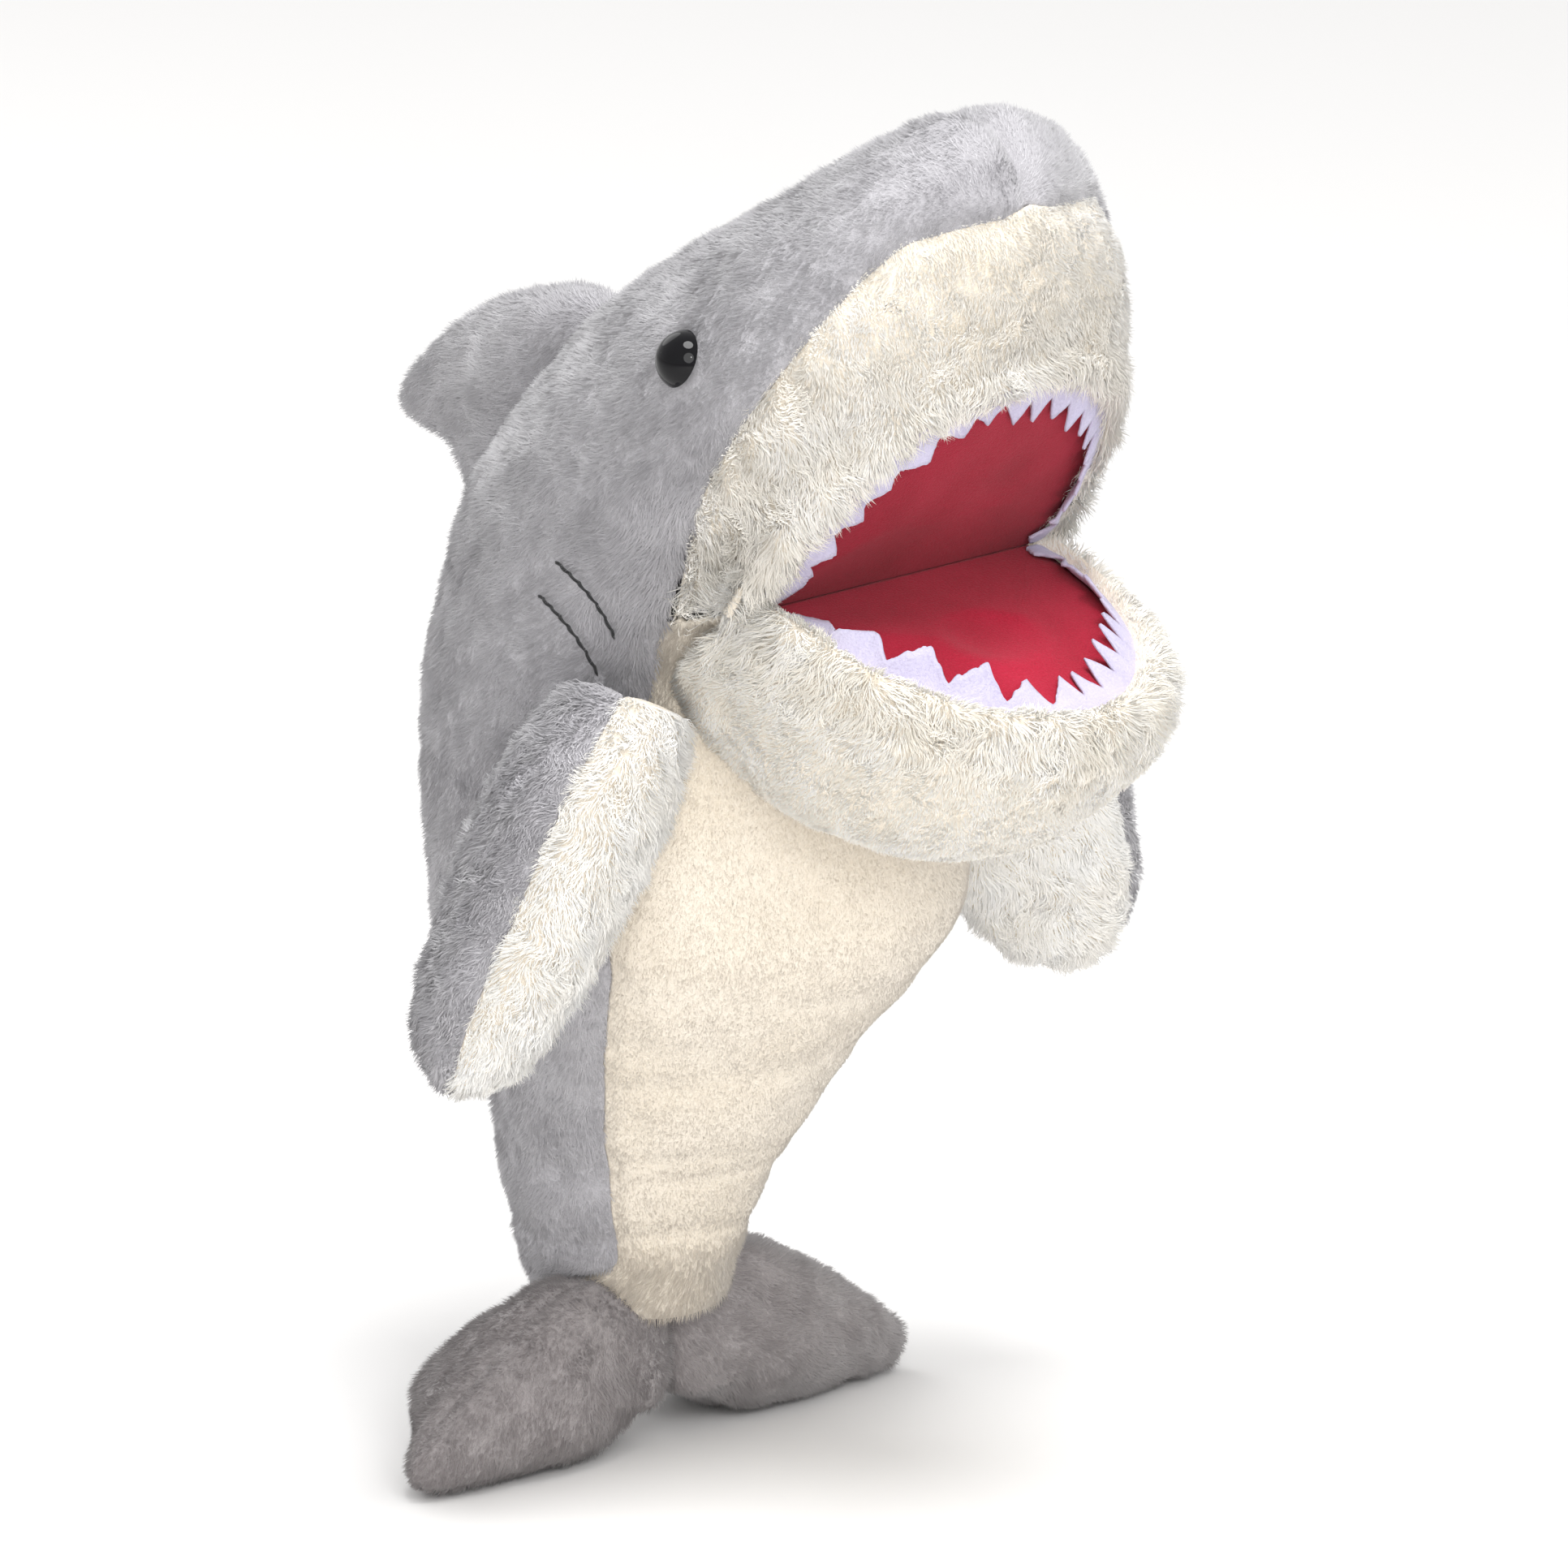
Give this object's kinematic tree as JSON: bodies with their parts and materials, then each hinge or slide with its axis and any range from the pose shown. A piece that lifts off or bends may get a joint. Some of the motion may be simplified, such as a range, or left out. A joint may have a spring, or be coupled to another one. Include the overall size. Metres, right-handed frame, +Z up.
{
  "type": "plush shark",
  "caption": "Stuffed toy shark standing on its tail flukes, with a hinged wide-open felt mouth, side fins that swing and a back fin that flexes.",
  "frame": {"origin": "on the floor, at the middle of the toy's footprint box, in its mirror plane", "axes": "+Z up, -Y the way the shark faces, +X its left side"},
  "size_m": [0.2714, 0.2867, 0.4178],
  "materials": {
    "black_thread": "matte",
    "cream_long_plush": "matte",
    "cream_plush": "matte",
    "dark_grey_plush": "matte",
    "fibre_filling": "matte",
    "glass_beads": "matte",
    "gloss_eye": "gloss",
    "grey_plush": "matte",
    "lock_washer": "matte",
    "mouth_board": "matte",
    "red_felt": "matte",
    "white_felt": "matte"
  },
  "bodies": {
    "body": {"back_panel_left": "grey_plush", "back_panel_right": "grey_plush", "belly_panel": "cream_plush", "body_filling": "fibre_filling", "fluke_left_back_panel": "dark_grey_plush", "fluke_left_bead_bag": "glass_beads", "fluke_left_front_panel": "dark_grey_plush", "fluke_right_back_panel": "dark_grey_plush", "fluke_right_bead_bag": "glass_beads", "fluke_right_front_panel": "dark_grey_plush", "gill_stitches": "black_thread", "tail_bead_bag": "glass_beads"},
    "jaw": {"chin_panel": "cream_plush", "jaw_filling": "fibre_filling", "lower_lip": "cream_long_plush", "lower_mouth_board": "mouth_board", "lower_palate_felt": "red_felt", "lower_teeth": "white_felt"},
    "dorsal_fin": {"dorsal_filling": "fibre_filling", "dorsal_panel_left": "grey_plush", "dorsal_panel_right": "grey_plush"},
    "snout": {"eye_left": "gloss_eye", "eye_right": "gloss_eye", "eye_washer_left": "lock_washer", "eye_washer_right": "lock_washer", "muzzle_panel": "cream_plush", "snout_filling": "fibre_filling", "snout_panel_left": "grey_plush", "snout_panel_right": "grey_plush", "upper_lip": "cream_long_plush", "upper_mouth_board": "mouth_board", "upper_palate_felt": "red_felt", "upper_teeth": "white_felt"},
    "pectoral_left": {"pectoral_left_cream_panel": "cream_plush", "pectoral_left_filling": "fibre_filling", "pectoral_left_grey_panel": "grey_plush"},
    "pectoral_right": {"pectoral_right_cream_panel": "cream_plush", "pectoral_right_filling": "fibre_filling", "pectoral_right_grey_panel": "grey_plush"}
  },
  "joints": [
    {"name": "snout_fold", "type": "hinge", "parent": "body", "child": "snout", "pos_m": [0, -0.0527, 0.274], "axis": [1, 0, 0], "range_deg": [0, 30], "stiffness_Nm_per_rad": 4},
    {"name": "jaw_fold", "type": "hinge", "parent": "body", "child": "jaw", "pos_m": [0, -0.0527, 0.274], "axis": [-1, 0, 0], "range_deg": [0, 24], "stiffness_Nm_per_rad": 2},
    {"name": "pectoral_left_swing", "type": "hinge", "parent": "body", "child": "pectoral_left", "pos_m": [0.074, -0.0077, 0.252], "axis": [0, -1, 0], "range_deg": [0, 50], "stiffness_Nm_per_rad": 0.3},
    {"name": "pectoral_right_swing", "type": "hinge", "parent": "body", "child": "pectoral_right", "pos_m": [-0.074, -0.0077, 0.252], "axis": [0, 1, 0], "range_deg": [0, 50], "stiffness_Nm_per_rad": 0.3},
    {"name": "dorsal_flex", "type": "hinge", "parent": "body", "child": "dorsal_fin", "pos_m": [0, 0.1143, 0.274], "axis": [0, -0.3987, 0.9171], "range_deg": [-25, 25], "stiffness_Nm_per_rad": 0.2}
  ]
}
